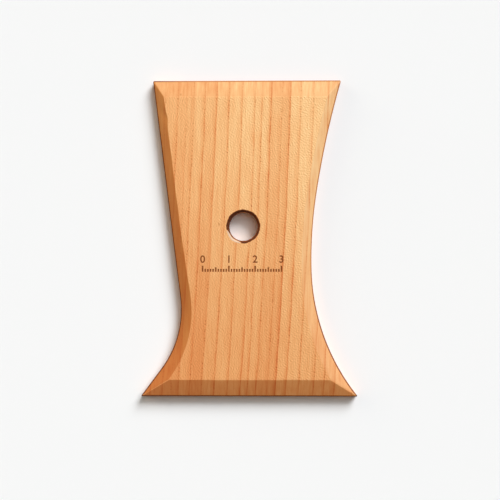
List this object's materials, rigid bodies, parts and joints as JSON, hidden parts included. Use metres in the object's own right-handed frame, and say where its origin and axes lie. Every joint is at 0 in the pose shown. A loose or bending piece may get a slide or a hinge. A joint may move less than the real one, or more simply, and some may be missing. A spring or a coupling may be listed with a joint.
{
  "type": "pottery rib",
  "caption": "Flat waisted hardwood pottery rib with a different concave profile on each side, bevelled edges on one face, and a round hole to hang it by.",
  "frame": {"origin": "centre of the object's box, on the flat back face", "axes": "+Z out of the bevelled front, +Y along the grain from the wide flared foot to the narrower top edge, +X to the right as the front is seen with the foot down"},
  "size_m": [0.0821, 0.1206, 0.0063],
  "materials": {
    "cherry": "bare sanded cherry, laser-cut edges burnt dark brown"
  },
  "bodies": {
    "root": {"rib_board": "cherry"}
  },
  "joints": []
}
